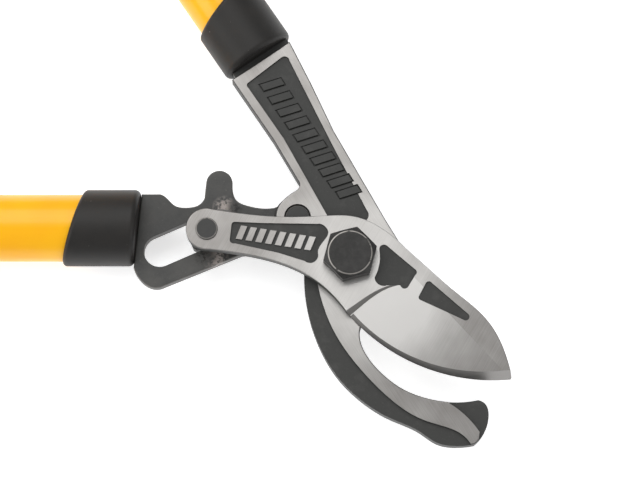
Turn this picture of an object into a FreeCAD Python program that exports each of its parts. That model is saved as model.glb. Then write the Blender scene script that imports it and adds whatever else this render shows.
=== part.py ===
import FreeCAD, Part
import math
import os

# Bypass lopper head and handles, in mm. The main pivot axis is the origin, +Z points from the nut
# to the bolt head, and Z = 0 is the plane the tool lies on: the bolt end and the grips touch it.

# ---- fits -------------------------------------------------------------------------------------
RUN = 0.05              # radial running clearance of a pin in its hole
SEAT = 0.05             # radial room of a sleeve, plug or pin that is glued or driven in
LOOSE = 0.25            # radial clearance of a hole that only passes a pin
FLUSH = 0.1             # how far raised marks and flush heads stay below a rubbed face

# ---- stack along the main pivot ---------------------------------------------------------------
BOLT_TIP = 2.5          # thread standing past the nut
NUT_H = 10.0
REAR_WASHER_T = 1.5
ARM_T = 9.0             # forged hook arm
FRICTION_T = 0.3        # shim between the hook arm and the blade
BLADE_T = 5.0
HEAD_H = 7.6
EAR_T = 4.0             # ear left over the lever
THRUST_T = 1.0          # washer between ear and lever
LEVER_T = 6.0

NUT_Z = BOLT_TIP
WASHER_Z = NUT_Z + NUT_H
ARM_Z = WASHER_Z + REAR_WASHER_T
SHEAR_Z = ARM_Z + ARM_T
BLADE_Z = SHEAR_Z + FRICTION_T
BLADE_TOP = BLADE_Z + BLADE_T
EAR_Z = SHEAR_Z - EAR_T
LEVER_TOP = EAR_Z - THRUST_T
LEVER_Z = LEVER_TOP - LEVER_T

# ---- pivots in plan ---------------------------------------------------------------------------
EAR_PIVOT = (-20.9, 16.6)
TAIL_PIVOT = (-57.1, 10.9)
BOLT_R = 6.0
HEX_AF = 19.0
HEX_TURN = 15.0         # how the bolt head happens to stand, degrees
BUSH_R = 8.0
FRICTION_R = 12.0
REAR_WASHER_R = 12.0
RIVET_R = 3.0
RIVET_HEAD_R = 4.8
RIVET_HEAD_T = 1.6
RIVET_RING = 0.6        # open ring left round the flush rivet head
TAIL_HEAD_R = 4.4
TAIL_HEAD_T = 1.1
EAR_R = 8.7
HUB_R = 9.1             # lever hub under the ear
THRUST_R = 9.6
HUB_ROOM = 0.8          # space between the thrust washer and the step of the ear

# ---- slot and slide block ---------------------------------------------------------------------
SLOT_DIR = 23.75        # degrees
SLOT_W = 12.8
SLOT_SIDE = 1.1         # slot centre line above the tail pivot
SLOT_BACK = 20.4        # from the tail pivot to the outer end centre
SLOT_FRONT = 6.4        # from the tail pivot to the inner end centre
BLOCK_L = 7.6           # from the tail pivot to the square end; the other end is round
BLOCK_PLAY = 2.15       # room on each side, because the pin runs on an arc in a straight slot
BLOCK_W = SLOT_W - 2 * BLOCK_PLAY
BLOCK_PROUD = 0.4       # how far the block stands past both lever faces
CLIP_T = 1.2
CLIP_R = 5.0
SPACER_R = 5.2

# ---- handles ----------------------------------------------------------------------------------
HANDLE_L = 590.0        # ferrule front to tube end
TUBE_R = 13.5
TUBE_WALL = 1.6
FERRULE_R = TUBE_R + 1.9
FERRULE_L = 25.6        # on the axis
FERRULE_CUT = 17.4      # slant of the rear end, degrees
FERRULE_FACE = 3.0      # front wall of the ferrule
FERRULE_NOSE = 2.4      # radius of its front rim
FERRULE_HEEL = 1.6      # radius of its slanted rear rim
NECK_W = 26.0           # width of the forging where it enters the ferrule
NECK_DROP = 1.2         # the neck is thinner than the forging by this on the upper side
NECK_ROOM = 0.15
GRIP_R = TUBE_R + 3.5
GRIP_L = 195.0
CAP_T = 5.0
PLUG_L = 48.0
TANG_L = 44.0
PIN_R = 2.0
HANDLE_Z = GRIP_R       # the grips lie on Z = 0
UPPER_AT, UPPER_DIR = (-36.4, 83.2), 124.2
LOWER_AT, LOWER_DIR, LOWER_SLANT = (-85.2, 13.2), 180.0, 5.7

# ---- relief on the forgings -------------------------------------------------------------------
PANEL_D = 0.8           # recessed panels
MOAT_D = 0.7            # groove round each raised mark on the arm
MOAT_W = 0.55
POCKET_D = 0.6          # hollows on the blade
BAND_D = 1.3            # lowered outer band of the hook
GRIND_SLOPE = 0.094     # fall of the ground blade face
STEP_LEAN = (0.42, -0.70)   # run of the step wall beside the ground face per mm of drop
EDGE_BEVEL_W = 1.9      # honed strip along the cutting edge
EDGE_LAND = 0.3         # steel left at the cutting edge
SOFT = 0.5              # small radius round the forged outlines

UP = FreeCAD.Vector(0, 0, 1)


def vec(x, y, z=0.0):
    return FreeCAD.Vector(x, y, z)


class Outline:
    """A closed flat outline made of lines, arcs and smooth curves, in mm."""

    def __init__(self, x, y):
        self.first = self.last = vec(x, y)
        self.edges = []

    def line(self, x, y):
        end = vec(x, y)
        self.edges.append(Part.makeLine(self.last, end))
        self.last = end
        return self

    def arc(self, mx, my, x, y):
        end = vec(x, y)
        self.edges.append(Part.Arc(self.last, vec(mx, my), end).toShape())
        self.last = end
        return self

    def curve(self, *points):
        nodes = [self.last] + [vec(x, y) for x, y in points]
        spline = Part.BSplineCurve()
        spline.interpolate(nodes)
        self.edges.append(spline.toShape())
        self.last = nodes[-1]
        return self

    def solid(self, bottom, top):
        return self.face(bottom).extrude(vec(0, 0, top - bottom))

    def face(self, height):
        """The closed outline as a flat face at that height."""
        if self.last.distanceToPoint(self.first) > 1e-6:
            self.line(self.first.x, self.first.y)
        face = Part.Face(Part.Wire(self.edges))
        face.translate(vec(0, 0, height))
        return face


def disc(radius, bottom, top, at=(0.0, 0.0)):
    return Part.makeCylinder(radius, top - bottom, vec(at[0], at[1], bottom))


def ring(outer, inner, bottom, top, at=(0.0, 0.0)):
    return disc(outer, bottom, top, at).cut(disc(inner, bottom - 1, top + 1, at))


def box(x0, x1, y0, y1, z0, z1):
    return Part.makeBox(x1 - x0, y1 - y0, z1 - z0, vec(x0, y0, z0))


def placed(shape, at, turn):
    """Turn a shape about Z by the angle, then move it to a plan position."""
    shape = shape.copy()
    shape.rotate(vec(0, 0), UP, turn)
    shape.translate(vec(at[0], at[1]))
    return shape


def polar(at, radius, angle):
    a = math.radians(angle)
    return at[0] + radius * math.cos(a), at[1] + radius * math.sin(a)


def softened(solid, top, bottom, size=SOFT):
    """Round the outer edges lying in the top and bottom faces."""
    edges = [e for e in solid.Edges
             if all(abs(v.Z - top) < 1e-6 for v in e.Vertexes)
             or all(abs(v.Z - bottom) < 1e-6 for v in e.Vertexes)]
    return solid.makeFillet(size, edges)


def hexagon(across_flats, bottom, top, turn):
    corner = across_flats / math.sqrt(3)
    points = [vec(*polar((0, 0), corner, turn + 60 * i), bottom) for i in range(7)]
    return Part.Face(Part.makePolygon(points)).extrude(vec(0, 0, top - bottom))


def crowned(across_flats, bottom, top, turn, both=False):
    """Hexagon whose corners are turned off by a 30 degree cone."""
    corner = across_flats / math.sqrt(3)
    round_r = across_flats * 0.453
    drop = (corner + 1 - round_r) * math.tan(math.radians(30))
    body = hexagon(across_flats, bottom, top, turn)
    turned = disc(corner + 1, bottom, top - drop).fuse(
        Part.makeCone(corner + 1, round_r, drop, vec(0, 0, top - drop)))
    if both:
        turned = turned.common(disc(corner + 1, bottom + drop, top).fuse(
            Part.makeCone(round_r, corner + 1, drop, vec(0, 0, bottom))))
    return body.common(turned)


def slanted_bar(length, width, lean, bottom, top):
    """Leaning bar centred on its own middle, long side along Y."""
    h, w = length / 2, width / 2
    lean = h * math.tan(math.radians(lean))
    return (Outline(-w - lean, -h).line(w - lean, -h).line(w + lean, h).line(-w + lean, h)
            .solid(bottom, top))


# ---- hook arm ---------------------------------------------------------------------------------
def hook_arm_blank():
    out = Outline(-24.2, 88.9).line(-15.3, 71.2).line(-6.4, 52.1).line(14.4, 15.5).line(19.6, 6.9)
    out.curve((21.0, -2.0), (17.5, -12.5), (8.5, -21.5), (4.2, -28.1))
    out.curve((4.0, -32.4), (6.9, -39.6), (14.4, -48.0), (20.3, -52.3), (28.8, -55.9),
              (38.6, -57.8), (50.9, -57.0))
    out.curve((54.3, -59.5), (54.9, -64.0), (53.0, -70.2), (49.2, -74.6))
    out.curve((41.4, -75.3), (34.4, -74.0), (27.5, -69.5), (16.1, -64.3), (4.8, -57.3),
              (-3.8, -49.1), (-12.0, -35.8), (-16.6, -22.0), (-18.3, -6.7))
    out.line(-18.4, 3.4)
    low, mid, high = (polar(EAR_PIVOT, EAR_R, a) for a in (260, 216, 172))
    out.line(*low).arc(*mid, *high)
    out.curve((-27.7, 22.4), (-24.6, 25.5), (-21.6, 27.5)).arc(-20.2, 29.2, -20.8, 31.6)
    out.line(-30.6, 48.2).line(-47.4, 73.1)
    return out.solid(ARM_Z, SHEAR_Z)


def hook_relief():
    """Lowered band along the outside of the hook, and the lowered end of its beak."""
    low = SHEAR_Z - BAND_D
    band = Outline(-13.4, -7.0).curve((-11.7, -15.4), (-5.8, -30.6), (5.1, -45.8), (16.1, -56.8),
                                      (30.0, -65.4), (44.0, -70.6), (48.5, -76.0))
    band.line(40, -90).line(-40, -70).line(-40, -7.0)
    beak = Outline(37.4, -56.0).line(39.6, -58.6).curve((45.6, -63.2), (51.2, -69.8))
    beak.line(50.4, -76.0).line(70, -80).line(70, -50)
    return band.solid(low, SHEAR_Z + 1).fuse(beak.solid(low, SHEAR_Z + 1))


def arm_panel():
    out = Outline(-40.6, 72.1).line(-27.6, 82.3).arc(-25.6, 82.7, -24.2, 81.0)
    out.line(-7.5, 47.4).line(6.9, 19.4).arc(7.4, 16.4, 5.0, 14.6).line(-5.5, 14.6)
    out.arc(-7.6, 15.3, -9.2, 17.6).line(-26.4, 48.6).line(-40.9, 69.8).arc(-41.4, 71.1, -40.6, 72.1)
    return out.solid(SHEAR_Z - PANEL_D, SHEAR_Z + 1)


def arm_marks(grow=0.0, top=SHEAR_Z - FLUSH):
    """Row of plain raised bars in the arm panel; grown and cut, it is the groove round each."""
    bars = []
    for i in range(10):
        bar = slanted_bar(8.4 + 2 * grow, 2.9 + 2 * grow, 14.0, SHEAR_Z - PANEL_D - MOAT_D, top)
        bars.append(placed(bar, (-31.2 + 3.42 * i, 71.2 - 5.45 * i + 0.06 * i * i), -58.0))
    return bars


def tang(z0, z1, at, turn):
    """Flat tongue that runs into the tube, with a wider neck where it enters the ferrule."""
    half = tang_half(z0, z1)
    tongue = box(-1.0, TANG_L, -half, half, z0, z1 - NECK_DROP)
    neck = box(-5.0, FERRULE_FACE - 0.1, -NECK_W / 2, NECK_W / 2, z0, z1 - NECK_DROP)
    return placed(tongue.fuse(neck), at, turn)


def tang_half(z0, z1):
    bore = TUBE_R - TUBE_WALL
    reach = max(abs(z0 - HANDLE_Z), abs(z1 - HANDLE_Z))
    return 0.82 * math.sqrt(bore * bore - reach * reach)


def hook_arm():
    body = softened(hook_arm_blank(), SHEAR_Z, ARM_Z)
    body = body.cut(hook_relief()).cut(arm_panel()).cut(arm_marks(MOAT_W, SHEAR_Z + 1))
    body = body.fuse(arm_marks())
    body = body.cut(disc(THRUST_R + HUB_ROOM, ARM_Z - 1, EAR_Z, EAR_PIVOT))
    body = body.cut(disc(BOLT_R + SEAT, ARM_Z - 1, SHEAR_Z + 1))
    body = body.cut(disc(RIVET_R + SEAT, EAR_Z - 1, SHEAR_Z + 1, EAR_PIVOT))
    seat = SHEAR_Z - FLUSH - RIVET_HEAD_T
    body = body.cut(disc(RIVET_HEAD_R + RIVET_RING, seat, SHEAR_Z + 1, EAR_PIVOT))
    body = body.fuse(tang(ARM_Z, SHEAR_Z, UPPER_AT, UPPER_DIR))
    return body.cut(pin_holes(UPPER_AT, UPPER_DIR)).removeSplitter()


# ---- blade ------------------------------------------------------------------------------------
CUT_ARC_AT, CUT_ARC_R = (56.8, 26.1), 75.5
EDGE_START, EDGE_END = 221.9, 275.2      # degrees round that arc


def cutting_edge(angle):
    return polar(CUT_ARC_AT, CUT_ARC_R, angle)


def blade_blank():
    tx, ty = TAIL_PIVOT
    out = Outline(-56.6, 19.2).curve((-42.0, 17.0), (-26.0, 15.8), (-9.0, 16.3), (1.5, 16.0),
                                     (10.7, 12.4), (22.0, 3.4))
    out.line(38.0, -11.2).curve((46.6, -18.3), (52.6, -23.8), (57.9, -31.0), (61.8, -40.2),
                                (64.0, -48.4))
    out.line(*cutting_edge(EDGE_END)).arc(*cutting_edge(250), *cutting_edge(EDGE_START))
    out.line(-1.4, -22.4).curve((-6.8, -15.8), (-15.6, -8.6), (-25.8, -3.6), (-42.0, 0.6),
                                (-56.6, 2.6))
    out.arc(tx - 8.3, ty, -56.6, 19.2)
    return out.solid(BLADE_Z, BLADE_TOP)


def ground_face():
    """Wedge taken off the cutting side of the blade, ending at a curved step near the pivot."""
    area = Outline(-8.0, -26.0).line(-1.4, -22.0).curve((6.6, -16.4), (14.4, -12.4), (20.0, -11.3))
    area.line(24.8, -7.9).line(90.0, -77.8).line(60.0, -110.0)
    lift, drop = 3.0, BLADE_T + 1.0
    face = area.face(BLADE_TOP + lift)
    face.translate(vec(-lift * STEP_LEAN[0], -lift * STEP_LEAN[1]))
    reach = lift + drop
    prism = face.extrude(vec(reach * STEP_LEAN[0], reach * STEP_LEAN[1], -reach))
    fall = math.degrees(math.atan(GRIND_SLOPE))
    over = box(-120.0, 120.0, -120.0, 5.0, 0.0, 20.0)
    over.rotate(vec(0, 0), vec(1, 0, 0), fall)
    over.rotate(vec(0, 0), UP, -47.0)
    over.translate(vec(24.8, -7.9, BLADE_TOP))
    return prism.common(over)


def edge_bevel():
    """Conical cut that leaves the honed strip along the cutting edge."""
    outer_z = BLADE_Z + EDGE_LAND
    rise = BLADE_T * 0.55
    inner = CUT_ARC_R - EDGE_BEVEL_W
    slope = rise / EDGE_BEVEL_W
    far = 12.0
    profile = [vec(inner - 2.0, 0, outer_z + rise + 2.0 * slope), vec(CUT_ARC_R, 0, outer_z),
               vec(CUT_ARC_R + far, 0, outer_z), vec(CUT_ARC_R + far, 0, BLADE_TOP + far)]
    profile.append(vec(inner - 2.0, 0, BLADE_TOP + far))
    face = Part.Face(Part.makePolygon(profile + [profile[0]]))
    cone = face.revolve(vec(0, 0), UP, EDGE_END - EDGE_START + 8.0)
    return placed(cone, CUT_ARC_AT, EDGE_START - 0.4)


def blade_pockets():
    low = BLADE_TOP - POCKET_D
    near = Outline(11.7, 2.4).arc(12.8, 4.3, 14.8, 4.0).line(25.8, -5.4).arc(26.6, -6.5, 26.0, -7.8)
    near.line(23.2, -12.4).arc(21.6, -13.2, 20.0, -11.9).line(14.6, -12.0)
    near.arc(11.0, -11.3, 9.8, -8.8).arc(11.7, -3.2, 11.7, 2.4)
    far = Outline(30.2, -10.9).arc(31.4, -10.3, 32.6, -11.0).line(46.8, -23.4)
    far.arc(47.2, -25.2, 45.4, -26.0).line(28.2, -17.9).arc(27.3, -17.1, 27.5, -16.0)
    return near.solid(low, BLADE_TOP + 1).fuse(far.solid(low, BLADE_TOP + 1))


def tail_panel():
    out = Outline(-45.6, 13.7).line(-34.2, 13.2).line(-13.0, 12.9)
    out.curve((-10.4, 12.3), (-8.6, 9.6), (-10.6, 5.7), (-12.6, 0.6)).arc(-14.0, -2.4, -17.9, -2.2)
    out.line(-28.6, 1.2).line(-45.8, 5.0).arc(-47.4, 5.4, -47.8, 7.0).line(-47.2, 12.4)
    out.arc(-46.7, 13.4, -45.6, 13.7)
    return out.solid(BLADE_TOP - PANEL_D, BLADE_TOP + 1)


def tail_marks():
    bars = []
    for i in range(8):
        bar = slanted_bar(5.6, 2.5, 14.0, BLADE_TOP - PANEL_D - 0.5, BLADE_TOP - FLUSH)
        bars.append(placed(bar, (-43.2 + 3.9 * i, 9.4 - 0.62 * i), -8.0))
    return bars


def blade():
    body = softened(blade_blank(), BLADE_TOP, BLADE_Z, 0.35)
    body = body.cut(ground_face()).cut(edge_bevel()).cut(blade_pockets()).cut(tail_panel())
    body = body.fuse(tail_marks())
    body = body.cut(disc(BUSH_R + SEAT, BLADE_Z - 1, BLADE_TOP + 1))
    return body.cut(disc(RIVET_R + SEAT, BLADE_Z - 1, BLADE_TOP + 1, TAIL_PIVOT)).removeSplitter()


# ---- pivots -----------------------------------------------------------------------------------
def pivot_bolt():
    head = crowned(HEX_AF, BLADE_TOP, BLADE_TOP + HEAD_H, HEX_TURN)
    shank = disc(BOLT_R, 1.0, BLADE_TOP + 1)
    tip = Part.makeCone(BOLT_R - 1.0, BOLT_R, 1.0, vec(0, 0, 0))
    return head.fuse([shank, tip]).removeSplitter()


def pivot_nut():
    body = crowned(HEX_AF, NUT_Z, WASHER_Z, 4.0, both=True)
    return body.cut(disc(BOLT_R + SEAT, NUT_Z - 1, WASHER_Z + 1))


def pivot_washer():
    return ring(REAR_WASHER_R, BOLT_R + LOOSE, WASHER_Z, ARM_Z)


def friction_washer():
    return ring(FRICTION_R, BOLT_R + LOOSE, SHEAR_Z, BLADE_Z)


def pivot_bush():
    return ring(BUSH_R, BOLT_R + RUN, BLADE_Z, BLADE_TOP)


def lever_rivet():
    top = SHEAR_Z - FLUSH
    head = disc(RIVET_HEAD_R, top - RIVET_HEAD_T, top, EAR_PIVOT)
    head = head.makeChamfer(0.3, [e for e in head.Edges if abs(e.CenterOfMass.z - top) < 1e-6])
    shank = disc(RIVET_R, LEVER_Z - 0.5, top - 0.5, EAR_PIVOT)
    foot = disc(RIVET_HEAD_R, LEVER_Z - RIVET_HEAD_T, LEVER_Z, EAR_PIVOT)
    return head.fuse([shank, foot]).removeSplitter()


def tail_pin():
    top = BLADE_TOP + TAIL_HEAD_T
    end = LEVER_Z - BLOCK_PROUD - CLIP_T - 0.8
    head = disc(TAIL_HEAD_R, BLADE_TOP, top, TAIL_PIVOT)
    head = head.makeFillet(0.5, [e for e in head.Edges if abs(e.CenterOfMass.z - top) < 1e-6])
    return head.fuse(disc(RIVET_R, end, BLADE_TOP + 0.5, TAIL_PIVOT)).removeSplitter()


def tail_pin_spacer():
    return ring(SPACER_R, RIVET_R + RUN, LEVER_TOP + BLOCK_PROUD, BLADE_Z, TAIL_PIVOT)


def tail_pin_clip():
    top = LEVER_Z - BLOCK_PROUD
    clip = ring(CLIP_R, RIVET_R + SEAT, top - CLIP_T, top, TAIL_PIVOT)
    mouth = box(0.0, CLIP_R + 1, -1.4, 1.4, top - CLIP_T - 1, top + 1)
    return clip.cut(placed(mouth, TAIL_PIVOT, 200.0))


# ---- lever ------------------------------------------------------------------------------------
def lever_blank():
    out = Outline(-83.7, 27.0).line(-76.2, 27.0).curve((-74.0, 25.8), (-70.4, 22.4), (-65.6, 21.5),
                                                       (-60.6, 22.7), (-58.4, 25.6))
    out.line(-57.8, 31.8).arc(-52.8, 36.7, -47.2, 32.4)
    out.curve((-47.0, 28.2), (-45.6, 24.6), (-41.0, 22.3), (-35.0, 21.2), (-30.4, 21.4))
    first, last = polar(EAR_PIVOT, HUB_R, 140), polar(EAR_PIVOT, HUB_R, 241)
    out.line(*first).arc(*polar(EAR_PIVOT, HUB_R, 20), *last)
    out.curve((-32.5, 4.9), (-43.3, 2.3))
    out.line(-75.6, -11.0).curve((-79.3, -11.0), (-83.0, -8.9), (-86.7, -3.1))
    return out.solid(LEVER_Z, LEVER_TOP)


def slot():
    r = SLOT_W / 2
    out = Outline(-SLOT_BACK, -r).line(SLOT_FRONT, -r).arc(SLOT_FRONT + r, 0, SLOT_FRONT, r)
    out.line(-SLOT_BACK, r).arc(-SLOT_BACK - r, 0, -SLOT_BACK, -r)
    body = out.solid(LEVER_Z - 1, LEVER_TOP + 1)
    body.translate(vec(0, SLOT_SIDE))
    return placed(body, TAIL_PIVOT, SLOT_DIR)


def lever():
    body = softened(lever_blank(), LEVER_TOP, LEVER_Z)
    body = body.fuse(tang(LEVER_Z, LEVER_TOP, LOWER_AT, LOWER_DIR))
    body = body.cut(slot()).cut(disc(RIVET_R + RUN, LEVER_Z - 1, LEVER_TOP + 1, EAR_PIVOT))
    return body.cut(pin_holes(LOWER_AT, LOWER_DIR)).removeSplitter()


def lever_washer():
    return ring(THRUST_R, RIVET_R + RUN, LEVER_TOP, EAR_Z, EAR_PIVOT)


def slide_block():
    w, nip = BLOCK_W / 2, 0.8
    out = Outline(0, w).line(-BLOCK_L + nip, w).line(-BLOCK_L, w - nip).line(-BLOCK_L, nip - w)
    out.line(nip - BLOCK_L, -w).line(0, -w).arc(w, 0, 0, w)
    body = placed(out.solid(LEVER_Z - BLOCK_PROUD, LEVER_TOP + BLOCK_PROUD), TAIL_PIVOT, SLOT_DIR)
    return body.cut(disc(RIVET_R + RUN, LEVER_Z - 2, LEVER_TOP + 2, TAIL_PIVOT))


# ---- handles, built along +X from the ferrule front, then placed --------------------------------
def along(outer, inner, x0, x1):
    axis, at = vec(1, 0, 0), vec(x0, 0, HANDLE_Z)
    body = Part.makeCylinder(outer, x1 - x0, at, axis)
    if inner:
        body = body.cut(Part.makeCylinder(inner, x1 - x0 + 2, vec(x0 - 1, 0, HANDLE_Z), axis))
    return body


def pin_stations():
    return (11.0, 21.0)


def pin_holes(at, turn):
    pins = [disc(PIN_R + SEAT, HANDLE_Z - TUBE_R - 1, HANDLE_Z + TUBE_R + 1, (x, 0))
            for x in pin_stations()]
    return placed(pins[0].fuse(pins[1:]), at, turn)


def beyond(x, slant, sign):
    """Everything past an oblique plane square to the handle but for its slant."""
    block = box(0.0, 200.0, -100.0, 100.0, -100.0, 100.0)
    block.rotate(vec(0, 0), UP, -sign * slant)
    block.translate(vec(x, 0, HANDLE_Z))
    return block


def ferrule(z0, z1, outer_side, front_slant):
    body = along(FERRULE_R, None, -5.0, FERRULE_L + 20.0)
    body = body.common(beyond(0.0, front_slant, outer_side))
    body = body.cut(beyond(FERRULE_L, FERRULE_CUT, outer_side))
    rims = [e for e in body.Edges if e.Closed]
    body = body.makeFillet(FERRULE_NOSE, [e for e in rims if e.CenterOfMass.x < FERRULE_L / 2])
    rims = [e for e in body.Edges if e.Closed and e.CenterOfMass.x > FERRULE_L * 0.7]
    body = body.makeFillet(FERRULE_HEEL, rims)
    body = body.cut(along(TUBE_R + SEAT, None, FERRULE_FACE, FERRULE_L + 40.0))
    half = tang_half(z0, z1)
    neck = NECK_W / 2 + NECK_ROOM
    body = body.cut(box(-20.0, FERRULE_FACE, -neck, neck, z0, z1 - NECK_DROP + NECK_ROOM))
    return body.cut(box(-20.0, 20.0, -half, half, z0, z1 - NECK_DROP + NECK_ROOM))


def tube():
    body = along(TUBE_R, TUBE_R - TUBE_WALL, FERRULE_FACE, HANDLE_L)
    return body.cut(pin_holes((0, 0), 0))


def tang_plug(z0, z1):
    body = along(TUBE_R - TUBE_WALL - SEAT, None, FERRULE_FACE, FERRULE_FACE + PLUG_L)
    half = tang_half(z0, z1)
    body = body.cut(box(-20.0, TANG_L, -half, half, z0, z1 - NECK_DROP + NECK_ROOM))
    return body.cut(pin_holes((0, 0), 0))


def tang_pins():
    reach = math.sqrt(TUBE_R ** 2 - PIN_R ** 2)
    pins = [disc(PIN_R, HANDLE_Z - reach, HANDLE_Z + reach, (x, 0)) for x in pin_stations()]
    return Part.makeCompound(pins)


def grip():
    start = HANDLE_L - GRIP_L
    body = along(GRIP_R, None, start, HANDLE_L)
    body = body.makeFillet(2.2, [e for e in body.Edges if e.Closed and e.CenterOfMass.x < start + 1])
    body = body.cut(along(TUBE_R + SEAT, None, start - 1, HANDLE_L + 1))
    for i in range(14):
        x = start + 22.0 + i * (GRIP_L - 45.0) / 13.0
        groove = Part.makeTorus(GRIP_R + 0.3, 1.5, vec(x, 0, HANDLE_Z), vec(1, 0, 0))
        body = body.cut(groove)
    return body


def end_cap():
    body = along(GRIP_R, None, HANDLE_L, HANDLE_L + CAP_T)
    outer = [e for e in body.Edges if e.Closed and e.CenterOfMass.x > HANDLE_L + 1]
    body = body.makeFillet(CAP_T * 0.6, outer)
    return body.fuse(along(TUBE_R - TUBE_WALL - SEAT, None, HANDLE_L - 14.0, HANDLE_L + 1.0))


def handle_set(name, at, turn, outer_side, z0, z1, front_slant):
    pieces = {"ferrule": ferrule(z0, z1, outer_side, front_slant), "tube": tube(),
              "tang_plug": tang_plug(z0, z1), "tang_pins": tang_pins(), "grip": grip(),
              "end_cap": end_cap()}
    return {f"{name}_{key}": placed(shape, at, turn) for key, shape in pieces.items()}


def all_parts():
    parts = {"hook_arm": hook_arm(), "blade": blade(), "lever": lever(),
             "pivot_bolt": pivot_bolt(), "pivot_nut": pivot_nut(), "pivot_washer": pivot_washer(),
             "friction_washer": friction_washer(), "pivot_bush": pivot_bush(),
             "lever_rivet": lever_rivet(), "lever_washer": lever_washer(),
             "tail_pin": tail_pin(), "tail_pin_spacer": tail_pin_spacer(),
             "tail_pin_clip": tail_pin_clip(), "slide_block": slide_block()}
    parts.update(handle_set("upper", UPPER_AT, UPPER_DIR, -1, ARM_Z, SHEAR_Z, 0.0))
    parts.update(handle_set("lower", LOWER_AT, LOWER_DIR, 1, LEVER_Z, LEVER_TOP, LOWER_SLANT))
    return parts


def main():
    os.makedirs("parts", exist_ok=True)
    for name, shape in all_parts().items():
        shape.exportStep(f"parts/{name}.step")


main()
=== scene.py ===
"""Studio scene of a long-handled compound-action bypass lopper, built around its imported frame."""

import logging
import math
from dataclasses import dataclass, field
from enum import Enum

import bpy
import numpy as np
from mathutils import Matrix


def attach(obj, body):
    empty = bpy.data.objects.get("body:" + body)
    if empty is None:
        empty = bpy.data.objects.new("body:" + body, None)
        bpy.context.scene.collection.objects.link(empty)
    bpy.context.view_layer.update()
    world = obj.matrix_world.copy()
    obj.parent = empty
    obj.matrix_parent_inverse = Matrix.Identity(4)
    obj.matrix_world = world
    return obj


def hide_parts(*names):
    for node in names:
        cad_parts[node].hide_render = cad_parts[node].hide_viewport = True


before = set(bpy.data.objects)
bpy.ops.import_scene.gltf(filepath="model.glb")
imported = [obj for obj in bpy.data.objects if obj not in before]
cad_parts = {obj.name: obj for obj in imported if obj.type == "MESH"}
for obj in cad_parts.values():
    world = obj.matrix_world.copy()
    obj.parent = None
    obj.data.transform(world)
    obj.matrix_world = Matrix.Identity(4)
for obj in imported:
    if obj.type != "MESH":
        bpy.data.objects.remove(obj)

logging.basicConfig(level=logging.INFO, format="%(message)s")
LOG = logging.getLogger("lopper")

MM = 0.001
NO_RIM = 30.0       # a rim radius outside the piece, in mm, so that no bright line shows


class Body(Enum):
    """The rigid bodies of the tool."""

    HOOK = "hook_side"
    LEVER = "lever_side"
    BLADE = "blade_side"
    BLOCK = "block"


class Level(Enum):
    """Heights of the stacked faces above the plane the tool lies on, in mm."""

    HOOK_TOP = 23.0
    BLADE_TOP = 28.3
    HANDLE_AXIS = 17.0


# ---- material tools -----------------------------------------------------------------------------
def linear(colour: str) -> tuple[float, float, float, float]:
    """Turns an sRGB hex colour into the linear colour that shader sockets hold.

    Args:
        colour: Six hex digits, with or without a leading hash.

    Returns:
        Linear red, green, blue and an alpha of one.
    """
    digits = colour.lstrip("#")
    srgb = np.array([int(digits[i:i + 2], 16) for i in (0, 2, 4)]) / 255.0
    flat = np.where(srgb <= 0.04045, srgb / 12.92, ((srgb + 0.055) / 1.055) ** 2.4)
    return float(flat[0]), float(flat[1]), float(flat[2]), 1.0


def add_node(tree: bpy.types.NodeTree, kind: str, inputs: dict | None = None,
             **settings: object) -> bpy.types.Node:
    """Adds one shader node, applies its settings and fills or links its inputs.

    Args:
        tree: The node tree of the material.
        kind: Blender's node type name.
        inputs: Socket name or index to a plain value or to another node's output socket.
        **settings: Attributes of the node itself.

    Returns:
        The new node.
    """
    node = tree.nodes.new(kind)
    for name, value in settings.items():
        setattr(node, name, value)
    for key, value in (inputs or {}).items():
        if isinstance(value, bpy.types.NodeSocket):
            tree.links.new(value, node.inputs[key])
        else:
            node.inputs[key].default_value = value
    return node


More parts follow.
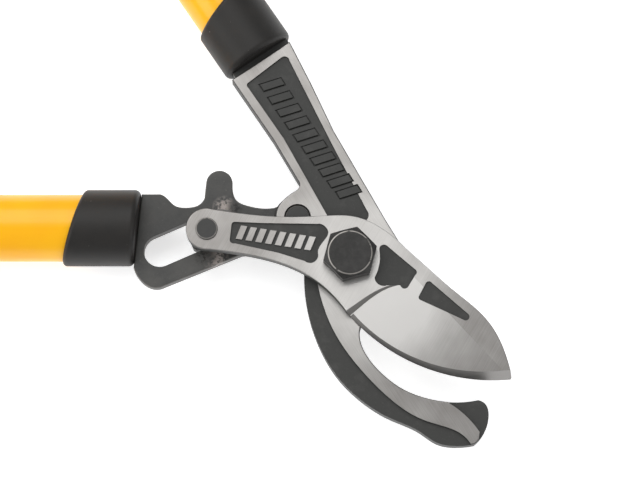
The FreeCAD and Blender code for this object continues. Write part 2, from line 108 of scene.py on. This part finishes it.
class Painter:
    """A material under construction, with its coordinates in millimetres of the real object."""

    def __init__(self, name: str) -> None:
        """Starts an empty material with a principled shader and millimetre coordinates."""
        self.material = bpy.data.materials.new(name)
        self.material.use_nodes = True
        self.tree = self.material.node_tree
        self.tree.nodes.clear()
        self.shader = self.add("ShaderNodeBsdfPrincipled")
        self.add("ShaderNodeOutputMaterial", {"Surface": self.shader.outputs["BSDF"]})
        raw = self.add("ShaderNodeTexCoord").outputs["Object"]
        self.place = self.stretch(raw, (1000.0, 1000.0, 1000.0))
        parts = self.add("ShaderNodeSeparateXYZ", {"Vector": self.place})
        self.x, self.y, self.z = parts.outputs
        true_normal = self.add("ShaderNodeNewGeometry").outputs["True Normal"]
        self.normal_z = self.add("ShaderNodeSeparateXYZ", {"Vector": true_normal}).outputs["Z"]

    def add(self, kind: str, inputs: dict | None = None, **settings: object) -> bpy.types.Node:
        """Adds a node to this material."""
        return add_node(self.tree, kind, inputs, **settings)

    def stretch(self, vector: bpy.types.NodeSocket, scale: tuple[float, float, float],
                turn: float = 0.0) -> bpy.types.NodeSocket:
        """Turns coordinates about Z and scales them.

        Args:
            vector: The coordinates to change.
            scale: Factor along each axis, after the turn.
            turn: Direction in the plane, in degrees, that becomes the first axis.

        Returns:
            The changed coordinates.
        """
        back = (0.0, 0.0, -math.radians(turn))
        turned = self.add("ShaderNodeMapping", {"Vector": vector, "Rotation": back})
        return self.add("ShaderNodeMapping", {"Vector": turned.outputs[0],
                                              "Scale": scale}).outputs[0]

    def maths(self, work: str, *values: object) -> bpy.types.NodeSocket:
        """Combines numbers or sockets with one maths operation."""
        return self.add("ShaderNodeMath", dict(enumerate(values)), operation=work).outputs[0]

    def ramp(self, value: bpy.types.NodeSocket, low: float, high: float,
             start: float = 0.0, end: float = 1.0) -> bpy.types.NodeSocket:
        """Maps low..high to start..end and holds the ends."""
        return self.add("ShaderNodeMapRange", {"Value": value, "From Min": low, "From Max": high,
                                               "To Min": start, "To Max": end}).outputs[0]

    def noise(self, size_mm: float, detail: float = 3.0, rough: float = 0.55,
              vector: bpy.types.NodeSocket | None = None) -> bpy.types.NodeSocket:
        """Cloudy noise whose blotches are about the given size across."""
        return self.add("ShaderNodeTexNoise", {"Vector": vector or self.place,
                                               "Scale": 1.0 / size_mm, "Detail": detail,
                                               "Roughness": rough}).outputs[0]

    def blend(self, mask: object, first: object, second: object) -> bpy.types.NodeSocket:
        """Mixes two colours: the first where the mask is zero, the second where it is one."""
        node = self.add("ShaderNodeMix", data_type="RGBA")
        for index, value in ((0, mask), (6, first), (7, second)):
            if isinstance(value, bpy.types.NodeSocket):
                self.tree.links.new(value, node.inputs[index])
            else:
                node.inputs[index].default_value = value
        return node.outputs[2]

    def disc(self, at: tuple[float, float], radius: float, soft: float) -> bpy.types.NodeSocket:
        """Mask that is one inside a circle in plan, in mm, and falls to zero over its soft rim."""
        dx, dy = self.maths("SUBTRACT", self.x, at[0]), self.maths("SUBTRACT", self.y, at[1])
        away = self.maths("SQRT", self.maths("ADD", self.maths("MULTIPLY", dx, dx),
                                             self.maths("MULTIPLY", dy, dy)))
        return self.ramp(away, radius + soft, radius - soft)

    def bump(self, height: bpy.types.NodeSocket, depth_mm: float) -> None:
        """Connects a height pattern as relief of the given real depth."""
        node = self.add("ShaderNodeBump", {"Height": height, "Strength": 1.0,
                                           "Distance": depth_mm * MM})
        self.tree.links.new(node.outputs["Normal"], self.shader.inputs["Normal"])

    def set(self, **inputs: object) -> None:
        """Sets or links sockets of the principled shader, with underscores for spaces."""
        for name, value in inputs.items():
            socket = self.shader.inputs[name.replace("_", " ").replace("Ior", "IOR")]
            if isinstance(value, bpy.types.NodeSocket):
                self.tree.links.new(value, socket)
            else:
                socket.default_value = value


# ---- finishes -----------------------------------------------------------------------------------
@dataclass(frozen=True)
class GroundForging:
    """Drop-forged carbon steel, painted black by dipping and then surface-ground on its high faces.

    The ground faces show fine straight grinding lines on grey steel, made lighter round the pivot
    by a painted sheen, and the blade's tilted ground face carries a painted glint near the step;
    steep strips, the edge bevel and the step wall, get painted shade, and the hollows keep satin
    paint with the slight pebbling of forging scale under it.
    """

    name: str
    face_z: float
    ground_below: bool
    tilted_is_ground: bool
    grind_turn: float
    face_depth: float = 0.05
    steel: str = "#D2D0CD"
    steel_dull: str = "#888582"
    # painted shade for faces that slope steeply
    sloped_shade: str = "#8C8A88"
    # painted sheen: a wide disc of lighter steel round a point near the pivot
    painted_sheen_at: tuple[float, float] = (6.0, -6.0)
    painted_sheen_radius: float = 23.0
    painted_sheen_soft: float = 22.0
    # painted glint: a brighter disc on the blade's tilted ground face near the step
    painted_glint_at: tuple[float, float] = (15.0, -19.0)
    painted_glint_radius: float = 25.0
    painted_glint_soft: float = 20.0
    paint: str = "#343432"
    paint_worn: str = "#4A4947"

    def make(self) -> bpy.types.Material:
        """Builds the material."""
        p = Painter(self.name)
        lowest = self.face_z - self.face_depth
        high = p.ramp(p.z, lowest - 0.01, lowest + 0.01)
        up = p.ramp(p.normal_z, 0.30, 0.36)
        if self.tilted_is_ground:
            tilted = p.ramp(p.normal_z, 0.9990, 0.9980)
            high = p.maths("MAXIMUM", high, tilted)
        ground = p.maths("MULTIPLY", up, high)
        if self.ground_below:
            ground = p.maths("MAXIMUM", ground, p.ramp(p.normal_z, -0.90, -0.95))
        # grinding lines 0.25 mm apart and 20 mm long
        lines = p.noise(1.0, 4.0, 0.7, p.stretch(p.place, (0.05, 3.2, 0.3), self.grind_turn))
        clouds = p.noise(16.0, 2.0)
        tone = p.maths("ADD", p.maths("MULTIPLY", lines, 0.22), p.maths("MULTIPLY", clouds, 0.30))
        # painted sheen: the steel turns lighter in a wide soft disc round the pivot
        rubbed = p.disc(self.painted_sheen_at, self.painted_sheen_radius, self.painted_sheen_soft)
        tone = p.maths("ADD", tone, p.maths("MULTIPLY", rubbed, 0.40))
        if self.tilted_is_ground:
            # painted glint: the tilted ground face is made brighter inside a disc near the step
            bright = p.disc(self.painted_glint_at, self.painted_glint_radius, self.painted_glint_soft)
            painted_glint = p.maths("MULTIPLY", tilted, bright)
            tone = p.maths("ADD", tone, p.maths("MULTIPLY", painted_glint, 0.42))
        steel = p.blend(p.ramp(tone, 0.20, 0.74), linear(self.steel_dull), linear(self.steel))
        # painted shade: steeply sloping faces, the edge bevel and the step wall, turn darker grey
        sloped_shade_mask = p.maths("MULTIPLY", p.ramp(p.normal_z, 0.86, 0.74), p.ramp(p.normal_z, 0.34, 0.42))
        steel = p.blend(sloped_shade_mask, steel, linear(self.sloped_shade))
        grit = p.noise(0.9, 3.0, 0.6)
        wear = p.maths("MULTIPLY", p.ramp(p.noise(7.0, 4.0, 0.7), 0.52, 0.75), 0.55)
        speck = p.ramp(grit, 0.60, 0.72, 0.0, 0.35)
        paint = p.blend(p.maths("MAXIMUM", wear, speck), linear(self.paint),
                        linear(self.paint_worn))
        p.set(Base_Color=p.blend(ground, paint, steel), Metallic=p.ramp(ground, 0.0, 1.0, 0.15, 1.0),
              Roughness=p.maths("ADD", p.ramp(ground, 0.0, 1.0, 0.52, 0.30),
                                p.maths("MULTIPLY", lines, 0.08)))
        relief = p.blend(ground, grit, p.maths("MULTIPLY", lines, 0.14))
        p.bump(relief, 0.05)
        return p.material


@dataclass(frozen=True)
class OxidePlate:
    """Blanked steel plate with a hot black-oxide finish.

    The oxide gives an even dark grey with a dull sheen; rubbed edges turn lighter, pale metal dust
    lies beside the tail that slides over it, and dark patches beside the tail are painted shadow.
    """

    name: str = "black_oxide_plate"
    oxide: str = "#3C3C3B"
    worn: str = "#696763"
    tail_shadow: str = "#1B1A19"
    dust: str = "#A39A94"
    smudges: tuple[tuple[float, float, float], ...] = ((-50.5, 21.5, 3.4), (-54.0, 1.0, 4.0))
    # near-black patches of painted shadow along the tail's edges
    tail_shadow_spots: tuple[tuple[float, float, float], ...] = ((-46.2, 21.3, 2.6), (-57.6, 1.6, 3.4))

    def make(self) -> bpy.types.Material:
        """Builds the material."""
        p = Painter(self.name)
        clouds, grit = p.noise(11.0, 4.0, 0.65), p.noise(0.8, 3.0, 0.7)
        base = p.blend(p.ramp(clouds, 0.35, 0.75, 0.0, 0.4), linear(self.oxide), linear(self.worn))
        base = p.blend(p.ramp(grit, 0.64, 0.72, 0.0, 0.6), base, linear(self.worn))
        flat = p.maths("ABSOLUTE", p.normal_z)
        rubbed = p.maths("MULTIPLY", p.ramp(flat, 0.999, 0.90), p.ramp(flat, 0.05, 0.35))
        walls = p.maths("MULTIPLY", p.ramp(flat, 0.2, 0.1), 0.35)
        edge = p.maths("MULTIPLY", p.maths("ADD", rubbed, walls), p.ramp(grit, 0.35, 0.6, 0.4, 0.9))
        base = p.blend(edge, base, linear(self.worn))
        torn = p.ramp(p.noise(1.6, 4.0, 0.75), 0.45, 0.55)
        # pale dust patches first, then near-black patches of painted shadow beside the tail
        for spots, colour in ((self.smudges, self.dust), (self.tail_shadow_spots, self.tail_shadow)):
            for x, y, r in spots:
                patch = p.maths("MULTIPLY", p.disc((x, y), r, r * 0.5), torn)
                base = p.blend(p.maths("MULTIPLY", patch, 0.9), base, linear(colour))
        p.set(Base_Color=base, Metallic=0.35, Roughness=p.ramp(clouds, 0.3, 0.8, 0.42, 0.58))
        p.bump(grit, 0.03)
        return p.material


@dataclass(frozen=True)
class BlackenedFastener:
    """Cold-headed steel fastener, blackened in oil.

    Near-black with a soft sheen; handling has rubbed a thin bright line on the turned rim, and the
    top is faintly scuffed.
    """

    name: str
    middle: tuple[float, float]
    rim_radius: float
    black: str = "#2B2A29"
    scuff: str = "#4D4C4A"
    bright: str = "#A8A49F"
    rim_width: float = 0.22
    rim_strength: float = 0.85
    rough: float = 0.46

    def make(self) -> bpy.types.Material:
        """Builds the material."""
        p = Painter(self.name)
        clouds, grit = p.noise(3.5, 4.0, 0.7), p.noise(0.5, 3.0, 0.7)
        base = p.blend(p.ramp(clouds, 0.40, 0.75, 0.0, 0.4), linear(self.black), linear(self.scuff))
        inner = p.disc(self.middle, self.rim_radius - self.rim_width, 0.08)
        outer = p.disc(self.middle, self.rim_radius + self.rim_width, 0.08)
        line = p.maths("MULTIPLY", p.maths("SUBTRACT", outer, inner),
                       p.ramp(p.noise(2.2, 3.0, 0.6), 0.32, 0.42))
        line = p.maths("MULTIPLY", line, p.ramp(p.normal_z, 0.25, 0.5, 0.0, self.rim_strength))
        p.set(Base_Color=p.blend(line, base, linear(self.bright)),
              Metallic=p.ramp(line, 0.0, 1.0, 0.45, 1.0),
              Roughness=p.ramp(clouds, 0.3, 0.8, self.rough - 0.06, self.rough + 0.1))
        p.bump(grit, 0.025)
        return p.material


@dataclass(frozen=True)
class MouldedRubber:
    """Compression-moulded synthetic rubber.

    Brown-black with a broad satin sheen, a fine matt grain and stray dust specks.
    """

    name: str
    colour: str = "#1A1918"
    bloom: str = "#262320"
    dust: str = "#8C8884"
    rough: float = 0.50
    grain_mm: float = 0.35
    relief_mm: float = 0.03

    def make(self) -> bpy.types.Material:
        """Builds the material."""
        p = Painter(self.name)
        clouds, grain = p.noise(14.0, 3.0), p.noise(self.grain_mm, 2.0)
        base = p.blend(p.ramp(clouds, 0.35, 0.7, 0.0, 0.8), linear(self.colour), linear(self.bloom))
        specks = p.ramp(p.noise(0.7, 1.0, 0.4), 0.80, 0.84, 0.0, 0.5)
        p.set(Base_Color=p.blend(specks, base, linear(self.dust)),
              Roughness=p.ramp(clouds, 0.3, 0.8, self.rough - 0.05, self.rough + 0.06),
              Specular_IOR_Level=0.35)
        p.bump(grain, self.relief_mm)
        return p.material


@dataclass(frozen=True)
class GlossLacquer:
    """Steel tube sprayed with a warm yellow stoving enamel.

    Deep even colour under a clear wet gloss, with the faint waviness that sprayed enamel keeps.
    """

    name: str = "yellow_stoved_enamel"
    colour: str = "#FFBC00"
    deep: str = "#FDB200"

    def make(self) -> bpy.types.Material:
        """Builds the material."""
        p = Painter(self.name)
        clouds = p.noise(25.0, 2.0)
        p.set(Base_Color=p.blend(p.ramp(clouds, 0.3, 0.7), linear(self.colour), linear(self.deep)),
              Roughness=p.ramp(clouds, 0.3, 0.7, 0.28, 0.34), Coat_Weight=0.15, Coat_Roughness=0.08,
              Specular_IOR_Level=0.35)
        # orange-peel waves 2.5 mm across and a few microns high
        p.bump(p.noise(2.5, 1.0, 0.3), 0.006)
        return p.material


@dataclass(frozen=True)
class FoamSleeve:
    """Closed-cell rubber foam sleeve.

    Matt charcoal with open pores about a third of a millimetre wide.
    """

    name: str = "closed_cell_foam"
    colour: str = "#232322"
    pore: str = "#141413"
    rubbed: str = "#3A3937"

    def make(self) -> bpy.types.Material:
        """Builds the material."""
        p = Painter(self.name)
        pores = p.add("ShaderNodeTexVoronoi", {"Vector": p.place, "Scale": 1.0 / 0.8}).outputs[0]
        clouds = p.noise(18.0, 3.0)
        base = p.blend(p.ramp(pores, 0.15, 0.55), linear(self.pore), linear(self.colour))
        base = p.blend(p.ramp(clouds, 0.4, 0.8, 0.0, 0.25), base, linear(self.rubbed))
        p.set(Base_Color=base, Roughness=p.ramp(clouds, 0.3, 0.8, 0.70, 0.85))
        p.bump(pores, 0.12)
        return p.material


@dataclass(frozen=True)
class MouldedPlastic:
    """Injection-moulded black nylon, matt with a fine spark-eroded grain."""

    name: str = "black_nylon"
    colour: str = "#1F1F1F"
    worn: str = "#2E2E2D"

    def make(self) -> bpy.types.Material:
        """Builds the material."""
        p = Painter(self.name)
        clouds, grain = p.noise(9.0, 3.0), p.noise(0.4, 2.0)
        p.set(Base_Color=p.blend(p.ramp(clouds, 0.4, 0.7), linear(self.colour), linear(self.worn)),
              Roughness=p.ramp(clouds, 0.3, 0.8, 0.46, 0.58))
        p.bump(grain, 0.03)
        return p.material


@dataclass(frozen=True)
class SinteredBronze:
    """Oil-filled sintered bronze: dull brown-gold with fine dark pores."""

    name: str = "sintered_bronze"
    colour: str = "#A87B45"
    pore: str = "#4E3A22"

    def make(self) -> bpy.types.Material:
        """Builds the material."""
        p = Painter(self.name)
        pores = p.ramp(p.noise(0.5, 2.0), 0.42, 0.56)
        p.set(Base_Color=p.blend(pores, linear(self.pore), linear(self.colour)), Metallic=1.0,
              Roughness=p.ramp(p.noise(4.0), 0.3, 0.8, 0.38, 0.5))
        p.bump(pores, 0.02)
        return p.material


@dataclass(frozen=True)
class PlatedSteel:
    """Zinc-plated spring steel: pale bluish grey with a faint crystalline mottling."""

    name: str = "zinc_plated_steel"
    colour: str = "#A9ABAD"
    dull: str = "#86888A"

    def make(self) -> bpy.types.Material:
        """Builds the material."""
        p = Painter(self.name)
        clouds = p.noise(2.0, 4.0, 0.7)
        p.set(Base_Color=p.blend(p.ramp(clouds, 0.35, 0.7), linear(self.dull), linear(self.colour)),
              Metallic=1.0, Roughness=p.ramp(clouds, 0.3, 0.8, 0.28, 0.42))
        p.bump(clouds, 0.01)
        return p.material


# ---- mesh tools ---------------------------------------------------------------------------------
def closed_skin(name: str, rings: np.ndarray, sharp_deg: float = 35.0) -> bpy.types.Object:
    """Makes a closed tube-like mesh from rings of points, capped by a point at each end.

    The first and last rings must have shrunk to one point each: they become poles. Neighbouring
    rings are joined by quads, and a pole is joined to its ring by triangles.

    Args:
        name: Name of the new object.
        rings: Array of shape (rings, points round, 3), in mm.
        sharp_deg: Edges bent by more than this stay crisp.

    Returns:
        The new object, linked to the scene, at the origin.
    """
    count, around = rings.shape[:2]
    inner = rings[1:-1].reshape(-1, 3)
    verts = np.vstack([inner, rings[0, :1], rings[-1, :1]]) * MM
    row = np.arange(around)
    step = np.roll(row, -1)
    base = (np.arange(count - 3) * around)[:, None]
    quads = np.stack([base + row, base + step, base + around + step, base + around + row], -1)
    first, last = len(inner), len(inner) + 1
    end = (count - 3) * around
    fan_a = np.stack([np.full(around, first), step, row], -1)
    fan_b = np.stack([np.full(around, last), end + row, end + step], -1)
    faces = quads.reshape(-1, 4).tolist() + fan_a.tolist() + fan_b.tolist()
    mesh = bpy.data.meshes.new(name)
    mesh.from_pydata(verts.tolist(), [], faces)
    mesh.polygons.foreach_set("use_smooth", np.ones(len(mesh.polygons), bool))
    mesh.set_sharp_from_angle(angle=math.radians(sharp_deg))
    mesh.update()
    piece = bpy.data.objects.new(name, mesh)
    bpy.context.scene.collection.objects.link(piece)
    return piece


def dress(piece: bpy.types.Object, material: bpy.types.Material) -> None:
    """Gives an object one material in its first slot and drops the rest."""
    piece.data.materials.clear()
    piece.data.materials.append(material)


def dress_nodes(names: tuple[str, ...], material: bpy.types.Material) -> None:
    """Gives CAD nodes a material and reports each."""
    for name in names:
        dress(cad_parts[name], material)
        LOG.info("dressed %s with %s", name, material.name)


# ---- sub-assemblies -----------------------------------------------------------------------------
@dataclass
class CuttingHead:
    """Hook arm, blade, lever and slide block."""

    hook: GroundForging = GroundForging("ground_hook_forging", Level.HOOK_TOP.value, False, False,
                                        -57.0)
    blade: GroundForging = GroundForging("ground_blade_forging", Level.BLADE_TOP.value, True, True,
                                         60.0, 0.15)
    plate: OxidePlate = OxidePlate()

    def build(self) -> None:
        """Dresses the four flat pieces of the head."""
        dress_nodes(("hook_arm",), self.hook.make())
        dress_nodes(("blade",), self.blade.make())
        dress_nodes(("lever", "slide_block"), self.plate.make())


@dataclass
class PivotGroup:
    """Main bolt with its nut and washers, the ear rivet and the tail pin."""

    head_flats: float = 19.0
    head_round: float = 8.6
    head_height: float = 7.6
    head_turn: float = 15.0
    shank: float = 6.0
    pitch: float = 1.75
    thread_depth: float = 0.75
    thread_from: float = 0.0
    thread_to: float = 2.6
    corner_points: int = 20
    crown_degrees: float = 30.0
    ear_pivot: tuple[float, float] = (-20.9, 16.6)
    tail_pivot: tuple[float, float] = (-57.1, 10.9)

    def bolt_rings(self) -> np.ndarray:
        """Rings of the bolt from the middle of its head's top down to its threaded tip.

        A hexagon's radius at an angle is half its flats over the cosine of the angle from the
        nearest flat. The top falls away outside the round face at 30 degrees, so its height is
        the head's height less the extra radius times the tangent. The thread's radius dips by a
        triangle wave of height over pitch less turns.
        """
        angle = np.linspace(0.0, 2 * np.pi, 6 * self.corner_points, endpoint=False)
        turn = np.radians(self.head_turn)
        off_flat = (angle - turn) % (np.pi / 3) - np.pi / 6
        hexagon = self.head_flats / 2 / np.cos(off_flat)
        top = Level.BLADE_TOP.value + self.head_height
        slope = math.tan(math.radians(self.crown_degrees))
        share = np.array([0.0, 0.35, 0.7, 0.86, 0.94, 0.985])[:, None]
        dish = np.array([0.12, 0.11, 0.06, 0.02, 0.0, 0.03])[:, None]
        radius = share * self.head_round * np.ones_like(angle)
        height = top - dish * np.ones_like(angle)
        mix = np.array([0.06, 0.3, 0.65, 0.93, 1.0])[:, None]
        cham_r = self.head_round + mix * (hexagon - self.head_round)
        cham_z = top - 0.05 - (cham_r - self.head_round) * slope
        low = np.array([0.12, 0.5, 0.93, 1.0])[:, None]
        side_r = np.vstack([hexagon, hexagon, hexagon, hexagon - 0.12])
        side_z = cham_z[-1] + low * (Level.BLADE_TOP.value - cham_z[-1])
        plain = np.array([0.0, 0.35, 1.0])[:, None]
        neck_z = Level.BLADE_TOP.value + plain * (self.thread_to - Level.BLADE_TOP.value)
        neck_r = self.shank * np.ones_like(neck_z * angle)
        neck_z = neck_z * np.ones_like(angle)
        down = np.linspace(self.thread_to - 0.05, self.thread_from, 32)[:, None]
        phase = (down / self.pitch - angle / (2 * np.pi)) % 1.0
        tri = 1 - np.abs(2 * phase - 1)
        lead = np.clip((down - self.thread_from) / 0.9, 0.0, 1.0)
        thread_r = (self.shank - 1.0 * (1 - lead)) - self.thread_depth * tri * lead
        thread_z = down * np.ones_like(angle)
        end_r = np.array([2.5, 0.0])[:, None] * np.ones_like(angle)
        end_z = np.full_like(end_r, self.thread_from)
        r = np.vstack([radius, cham_r, side_r, neck_r, thread_r, end_r])
        z = np.vstack([height, cham_z, side_z, neck_z, thread_z, end_z])
        return np.stack([r * np.cos(angle), r * np.sin(angle), z], -1)[:, ::-1]

    def build(self) -> None:
        """Makes the bolt and dresses the small fastenings."""
        bolt = closed_skin("pivot_bolt_detailed", self.bolt_rings(), 28.0)
        black = BlackenedFastener("blackened_pivot_bolt", (0.0, 0.0), self.head_round)
        dress(bolt, black.make())
        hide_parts("pivot_bolt")
        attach(bolt, Body.HOOK.value)
        LOG.info("built %s", bolt.name)
        nut = BlackenedFastener("blackened_nut", (0.0, 0.0), NO_RIM)
        dress_nodes(("pivot_nut", "pivot_washer", "lever_washer", "tail_pin_spacer",
                     "tail_pin_clip"), nut.make())
        ear = BlackenedFastener("oxide_ear_rivet", self.ear_pivot, 4.75, "#393938", "#474644")
        tail = BlackenedFastener("oxide_tail_pin", self.tail_pivot, 4.15, "#393938", "#474644",
                                 rim_strength=0.6)
        dress_nodes(("lever_rivet",), ear.make())
        dress_nodes(("tail_pin",), tail.make())
        dress_nodes(("friction_washer", "pivot_bush"), SinteredBronze().make())


@dataclass
class Handle:
    """One tube with its ferrule, hidden plug and pins, foam grip and end cap."""

    side: str
    body: Body
    at: tuple[float, float]
    turn: float
    length: float = 590.0
    grip_length: float = 195.0
    grip_radius: float = 17.0
    bore_radius: float = 13.55
    plug_radius: float = 11.85
    cap_thick: float = 5.0
    around: int = 96
    ribs: int = 26
    rib_depth: float = 0.8

    def along_axis(self, x: np.ndarray, r: np.ndarray) -> np.ndarray:
        """Turns a profile into rings about the handle's axis and puts them in place.

        Each profile point (distance along the handle, radius) becomes a circle; the handle's
        direction in the plan carries the distance, and its height is that of the axis.
        """
        angle = np.linspace(0.0, 2 * np.pi, self.around, endpoint=False)
        x, r = np.asarray(x, float)[:, None], np.asarray(r, float)[:, None]
        side, up = r * np.cos(angle), r * np.sin(angle)
        a = np.radians(self.turn)
        px = self.at[0] + x * np.cos(a) - side * np.sin(a)
        py = self.at[1] + x * np.sin(a) + side * np.cos(a)
        return np.stack([px, py, Level.HANDLE_AXIS.value + up], -1)

    def grip_skin(self) -> np.ndarray:
        """Rings of the foam sleeve: a hand-shaped outside with shallow ribs, then the bore.

        The outside swells in the palm by a slow cosine and dips by a row of smooth ribs, each a
        squared sine. The bore runs back inside at the tube's radius.
        """
        start, end = self.length - self.grip_length, self.length
        t = np.linspace(0.0, 1.0, 420)
        x = start + 3.0 + t * (end - start - 4.0)
        swell = -0.9 * (0.5 - 0.5 * np.cos(2 * np.pi * np.clip(t * 1.15, 0, 1)))
        band = np.clip((t - 0.08) / 0.05, 0, 1) * np.clip((0.94 - t) / 0.05, 0, 1)
        ribs = -self.rib_depth * np.sin(np.pi * self.ribs * t) ** 8 * band
        outside = self.grip_radius + swell + ribs
        lead = np.linspace(0.0, np.pi / 2, 8)
        lead_x = start + 3.0 * (1 - np.cos(lead))
        lead_r = self.bore_radius + 0.6 + (self.grip_radius - self.bore_radius - 0.6) * np.sin(lead)
        xs = np.concatenate([[start], lead_x, x, [end, end]])
        rs = np.concatenate([[self.bore_radius], lead_r, outside,
                             [self.grip_radius - 0.5, self.bore_radius]])
        return self.along_axis(xs, rs)

    def cap_skin(self) -> np.ndarray:
        """Rings of the end cap: spigot, flange and a shallow dome with one moulded ring."""
        end, flange = self.length, self.grip_radius
        turn = np.linspace(0.0, np.pi / 2, 9)
        rim_x = end + self.cap_thick * 0.45 + self.cap_thick * 0.5 * np.sin(turn)
        rim_r = flange - 2.6 * (1 - np.cos(turn))
        xs = np.concatenate([[end - 14.0, end - 14.0, end - 13.0, end, end, end + 0.3], rim_x,
                             end + self.cap_thick - np.array([0.2, 0.9, 0.9, 0.15, 0.0, 0.0])])
        rs = np.concatenate([[0.0, self.plug_radius - 0.8, self.plug_radius, self.plug_radius,
                              flange - 0.4, flange], rim_r, [11.5, 11.0, 10.0, 9.5, 5.0, 0.0]])
        return self.along_axis(xs, rs)

    def build(self, rubber: bpy.types.Material, lacquer: bpy.types.Material,
              foam: bpy.types.Material, nylon: bpy.types.Material,
              pins: bpy.types.Material) -> None:
        """Makes the grip and cap and dresses the rest of the handle."""
        dress_nodes((f"{self.side}_ferrule",), rubber)
        dress_nodes((f"{self.side}_tube",), lacquer)
        dress_nodes((f"{self.side}_tang_plug",), nylon)
        dress_nodes((f"{self.side}_tang_pins",), pins)
        grip = ring_sleeve(f"{self.side}_foam_grip", self.grip_skin())
        cap = closed_skin(f"{self.side}_tube_cap", self.cap_skin())
        for piece, node, material, slot in ((grip, "grip", foam, "grip_rubber"),
                                            (cap, "end_cap", nylon, "plug_plastic")):
            dress(piece, material)
            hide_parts(f"{self.side}_{node}")
            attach(piece, self.body.value)
            LOG.info("built %s", piece.name)


def ring_sleeve(name: str, rings: np.ndarray, sharp_deg: float = 40.0) -> bpy.types.Object:
    """Makes a sleeve whose last ring joins its first, so it is closed both ways.

    Args:
        name: Name of the new object.
        rings: Array of shape (rings, points round, 3), in mm, running round the wall's section.
        sharp_deg: Edges bent by more than this stay crisp.

    Returns:
        The new object, linked to the scene, at the origin.
    """
    count, around = rings.shape[:2]
    row, step = np.arange(around), np.roll(np.arange(around), -1)
    here = (np.arange(count) * around)[:, None]
    there = np.roll(here, -1, axis=0)
    faces = np.stack([here + step, here + row, there + row, there + step], -1).reshape(-1, 4)
    mesh = bpy.data.meshes.new(name)
    mesh.from_pydata((rings.reshape(-1, 3) * MM).tolist(), [], faces.tolist())
    mesh.polygons.foreach_set("use_smooth", np.ones(len(mesh.polygons), bool))
    mesh.set_sharp_from_angle(angle=math.radians(sharp_deg))
    mesh.update()
    piece = bpy.data.objects.new(name, mesh)
    bpy.context.scene.collection.objects.link(piece)
    return piece


@dataclass
class Studio:
    """Pale floor, soft lights and the camera."""

    target: tuple[float, float, float] = (-0.0119, 0.0073, 0.023)
    distance: float = 1.2
    lean: float = 10.3
    width: float = 0.256
    floor_size: float = 6.0
    floor_glow: float = 0.55
    sky: str = "#F4F5F6"
    sky_strength: float = 0.52
    sensor_mm: float = 36.0
    lamps: list[tuple[str, tuple[float, float, float], float, float]] = field(
        default_factory=lambda: [
            ("overhead_softbox", (-0.5, 0.9, 1.6), 1.6, 18.5),
            ("left_softbox", (-1.6, -0.3, 1.0), 1.2, 11.0),
            ("right_softbox", (1.5, -0.8, 1.1), 1.0, 6.0)])

    def build(self) -> None:
        """Builds the floor, the lights, the sky and the camera."""
        self.build_floor()
        for name, at, size, power in self.lamps:
            self.add_softbox(name, at, size, power)
        world = bpy.data.worlds.new("pale_room")
        world.use_nodes = True
        background = world.node_tree.nodes["Background"]
        background.inputs[0].default_value = linear(self.sky)
        background.inputs[1].default_value = self.sky_strength
        bpy.context.scene.world = world
        self.add_camera()
        bpy.context.scene.view_settings.view_transform = "Standard"

    def build_floor(self) -> None:
        """Lays the pale floor that the tool rests on."""
        half = self.floor_size / 2
        mesh = bpy.data.meshes.new("floor")
        corners = [(-half, -half, 0.0), (half, -half, 0.0), (half, half, 0.0), (-half, half, 0.0)]
        mesh.from_pydata(corners, [], [(0, 1, 2, 3)])
        floor = bpy.data.objects.new("floor", mesh)
        bpy.context.scene.collection.objects.link(floor)
        p = Painter("white_card")
        p.set(Base_Color=linear("#FBFBFB"), Roughness=0.9, Emission_Color=linear("#FFFFFF"),
              Emission_Strength=self.floor_glow)
        dress(floor, p.material)

    def add_softbox(self, name: str, at: tuple[float, float, float], size: float,
                    power: float) -> None:
        """Hangs one square soft light that faces the middle of the view."""
        lamp = bpy.data.lights.new(name, "AREA")
        lamp.size, lamp.energy = size, power
        holder = bpy.data.objects.new(name, lamp)
        bpy.context.scene.collection.objects.link(holder)
        holder.location = at
        aim = np.array(self.target) - np.array(at)
        yaw = math.atan2(aim[1], aim[0]) - math.pi / 2
        pitch = math.atan2(math.hypot(aim[0], aim[1]), -aim[2])
        holder.rotation_euler = (pitch, 0.0, yaw)

    def add_camera(self) -> None:
        """Sets the camera nearly overhead, leaning back a little towards the user."""
        lens = bpy.data.cameras.new("camera")
        camera = bpy.data.objects.new("camera", lens)
        bpy.context.scene.collection.objects.link(camera)
        lean = math.radians(self.lean)
        x, y, z = self.target
        camera.location = (x, y - self.distance * math.sin(lean), z + self.distance * math.cos(lean))
        camera.rotation_euler = (lean, 0.0, 0.0)
        lens.sensor_width = self.sensor_mm
        lens.lens = self.sensor_mm * self.distance / self.width
        bpy.context.scene.camera = camera


def main() -> None:
    """Builds the studio and the tool's pieces."""
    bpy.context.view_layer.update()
    Studio().build()
    CuttingHead().build()
    PivotGroup().build()
    rubber = MouldedRubber("moulded_rubber").make()
    lacquer, foam = GlossLacquer().make(), FoamSleeve().make()
    nylon, pins = MouldedPlastic().make(), PlatedSteel().make()
    Handle("upper", Body.HOOK, (-36.4, 83.2), 124.2).build(rubber, lacquer, foam, nylon, pins)
    Handle("lower", Body.LEVER, (-85.2, 13.2), 180.0).build(rubber, lacquer, foam, nylon, pins)


if __name__ == "__main__":
    main()
